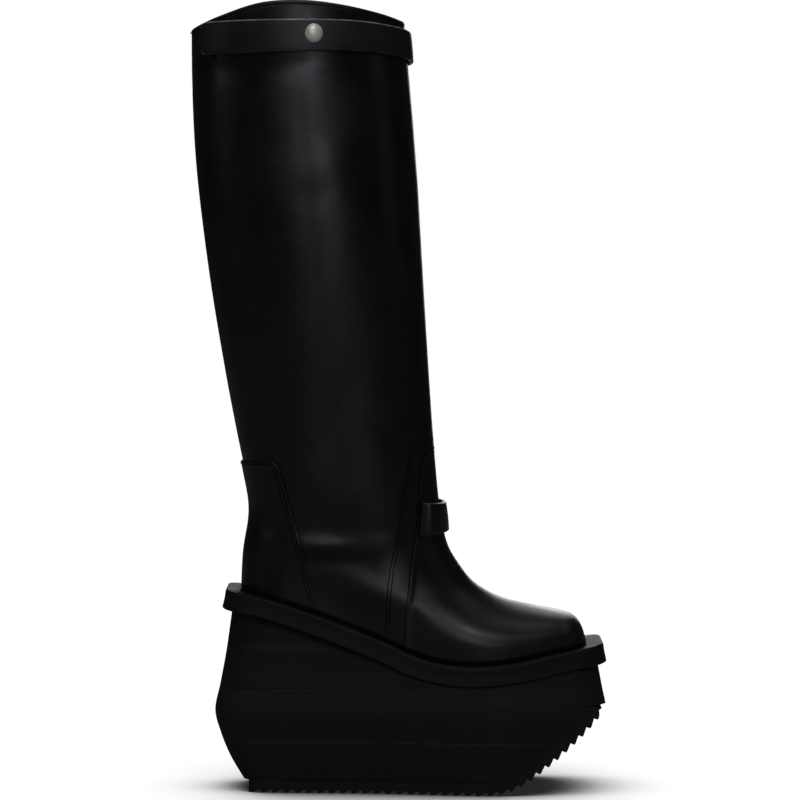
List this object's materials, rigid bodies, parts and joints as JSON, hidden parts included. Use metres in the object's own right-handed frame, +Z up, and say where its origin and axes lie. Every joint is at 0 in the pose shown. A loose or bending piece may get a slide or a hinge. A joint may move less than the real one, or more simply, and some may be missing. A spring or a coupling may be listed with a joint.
{
  "type": "platform boot",
  "caption": "Knee-high square-toed leather boot on a tall sculpted foam platform with a saw-tooth tread, a strap round the collar and a loop at the ankle.",
  "frame": {"origin": "on the floor under the middle of the boot's overall box", "axes": "+X to the toe, +Y to the inner side of the foot, +Z up; -Y is the outer side with the stud"},
  "size_m": [0.2999, 0.1297, 0.57],
  "materials": {
    "tread_rubber": "matt black rubber, cut in saw teeth",
    "platform_foam": "matt black EVA foam with faint scuffs",
    "slab_foam": "matt black EVA foam, skived edge",
    "insole_sock": "plain black leather sock",
    "upper_leather": "smooth black box calf with a soft shine",
    "strap_leather": "smooth black box calf with a cut edge",
    "stud_nickel": "brushed nickel dome"
  },
  "bodies": {
    "root": {"outsole": "tread_rubber", "platform_base_layer": "platform_foam", "platform_mid_layer": "platform_foam", "platform_top_wedge": "platform_foam", "midsole_slab": "slab_foam", "insole": "insole_sock", "upper": "upper_leather", "heel_counter": "upper_leather", "top_strap": "strap_leather", "ankle_loop": "strap_leather", "strap_stud": "stud_nickel"}
  },
  "joints": []
}
